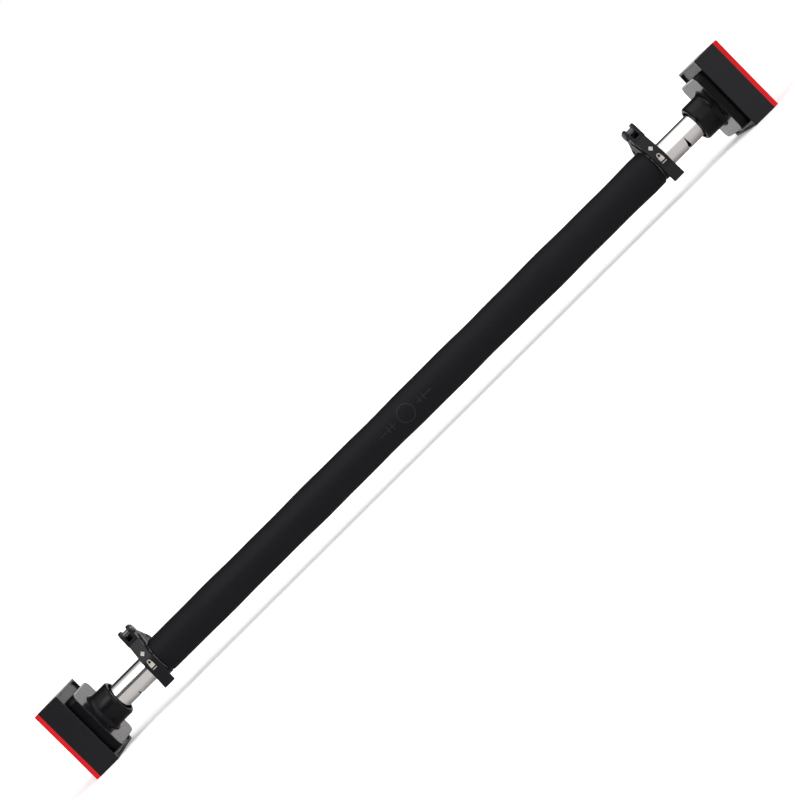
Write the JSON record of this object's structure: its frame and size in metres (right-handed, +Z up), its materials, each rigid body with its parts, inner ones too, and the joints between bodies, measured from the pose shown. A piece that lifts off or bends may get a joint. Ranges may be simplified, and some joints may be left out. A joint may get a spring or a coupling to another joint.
{
  "type": "pull up bar",
  "caption": "Telescopic pull up bar with a foam grip, quick-release clamps, screw-out inner tubes and swivelling square rubber wall pads.",
  "frame": {"origin": "centre of the bounding box's floor face: middle of the bar, on the surface that the pads' lower edges stand on", "axes": "+X along the bar towards the right-hand pad, -Y towards the lock levers (front), +Z up"},
  "size_m": [0.916, 0.085, 0.085],
  "materials": {
    "red_rubber": "matte red rubber with fine anti-slip grooves",
    "block_plastic": "fine-grained charcoal moulding",
    "hub_plastic": "fine-grained black moulding",
    "nylon": "smooth black nylon",
    "bronze": "turned bronze",
    "zinc_steel": "zinc-plated steel",
    "spring_steel": "oiled spring steel",
    "clamp_black": "satin black powder coat",
    "pin_silver": "bright turned steel",
    "nut_black": "satin black",
    "lever_coat": "satin charcoal powder coat",
    "bright_tube": "nickel-chrome with fine turning lines",
    "tube_steel": "plain drawn steel",
    "grip_foam": "matte black foam"
  },
  "bodies": {
    "bar": {"outer_tube": "tube_steel", "grip_sleeve": "grip_foam", "clamp_ring_left": "clamp_black", "clamp_bolt_left": "zinc_steel", "barrel_pin_left": "pin_silver", "cam_saddle_left": "clamp_black", "end_bush_left": "nylon", "lead_screw_left": "zinc_steel", "screw_bulkhead_left": "zinc_steel", "screw_lock_nut_left": "zinc_steel", "bulkhead_rivets_left": "zinc_steel", "clamp_ring_right": "clamp_black", "clamp_bolt_right": "zinc_steel", "barrel_pin_right": "pin_silver", "cam_saddle_right": "clamp_black", "end_bush_right": "nylon", "lead_screw_right": "zinc_steel", "screw_bulkhead_right": "zinc_steel", "screw_lock_nut_right": "zinc_steel", "bulkhead_rivets_right": "zinc_steel"},
    "lever_left": {"lock_lever_left": "lever_coat"},
    "nut_left": {"adjusting_nut_left": "nut_black"},
    "carriage_left": {"guide_bush_left": "nylon"},
    "tube_left": {"inner_tube_left": "bright_tube", "travel_nut_left": "bronze", "guide_circlips_left": "spring_steel", "end_plug_left": "zinc_steel", "swivel_bolt_left": "zinc_steel"},
    "pad_left": {"wall_pad_left": "red_rubber", "pad_block_left": "block_plastic", "base_plate_left": "hub_plastic", "socket_hub_left": "hub_plastic", "socket_bush_left": "nylon", "thrust_washer_left": "bronze", "pad_screws_left": "zinc_steel"},
    "lever_right": {"lock_lever_right": "lever_coat"},
    "nut_right": {"adjusting_nut_right": "nut_black"},
    "carriage_right": {"guide_bush_right": "nylon"},
    "tube_right": {"inner_tube_right": "bright_tube", "travel_nut_right": "bronze", "guide_circlips_right": "spring_steel", "end_plug_right": "zinc_steel", "swivel_bolt_right": "zinc_steel"},
    "pad_right": {"wall_pad_right": "red_rubber", "pad_block_right": "block_plastic", "base_plate_right": "hub_plastic", "socket_hub_right": "hub_plastic", "socket_bush_right": "nylon", "thrust_washer_right": "bronze", "pad_screws_right": "zinc_steel"}
  },
  "joints": [
    {"name": "lever_left_open", "type": "hinge", "parent": "bar", "child": "lever_left", "pos_m": [-0.3465, -0.00416, 0.07889], "axis": [-1, 0, 0], "range_deg": [0, 150]},
    {"name": "nut_left_turn", "type": "hinge", "parent": "bar", "child": "nut_left", "pos_m": [-0.3465, 0.02706, 0.06087], "axis": [0, -0.866, 0.5], "continuous": true},
    {"name": "extension_left", "type": "slide", "parent": "bar", "child": "carriage_left", "axis": [-1, 0, 0], "range_m": [-0.0361, 0.1201]},
    {"name": "screw_left_turn", "type": "hinge", "parent": "carriage_left", "child": "tube_left", "pos_m": [-0.145, 0, 0.04], "axis": [-1, 0, 0], "range_deg": [-2160, 7200]},
    {"name": "pad_left_swivel", "type": "hinge", "parent": "tube_left", "child": "pad_left", "pos_m": [-0.4285, 0, 0.04], "axis": [-1, 0, 0], "continuous": true},
    {"name": "lever_right_open", "type": "hinge", "parent": "bar", "child": "lever_right", "pos_m": [0.3465, -0.00416, 0.07889], "axis": [-1, 0, 0], "range_deg": [0, 150]},
    {"name": "nut_right_turn", "type": "hinge", "parent": "bar", "child": "nut_right", "pos_m": [0.3465, 0.02706, 0.06087], "axis": [0, -0.866, 0.5], "continuous": true},
    {"name": "extension_right", "type": "slide", "parent": "bar", "child": "carriage_right", "axis": [1, 0, 0], "range_m": [-0.0361, 0.1201]},
    {"name": "screw_right_turn", "type": "hinge", "parent": "carriage_right", "child": "tube_right", "pos_m": [0.145, 0, 0.04], "axis": [1, 0, 0], "range_deg": [-2160, 7200]},
    {"name": "pad_right_swivel", "type": "hinge", "parent": "tube_right", "child": "pad_right", "pos_m": [0.4285, 0, 0.04], "axis": [1, 0, 0], "continuous": true}
  ],
  "couplings": [
    {"joint": "extension_left", "follows": "screw_left_turn", "m_per_rad": 0.00095493},
    {"joint": "extension_right", "follows": "screw_right_turn", "m_per_rad": 0.00095493}
  ]
}
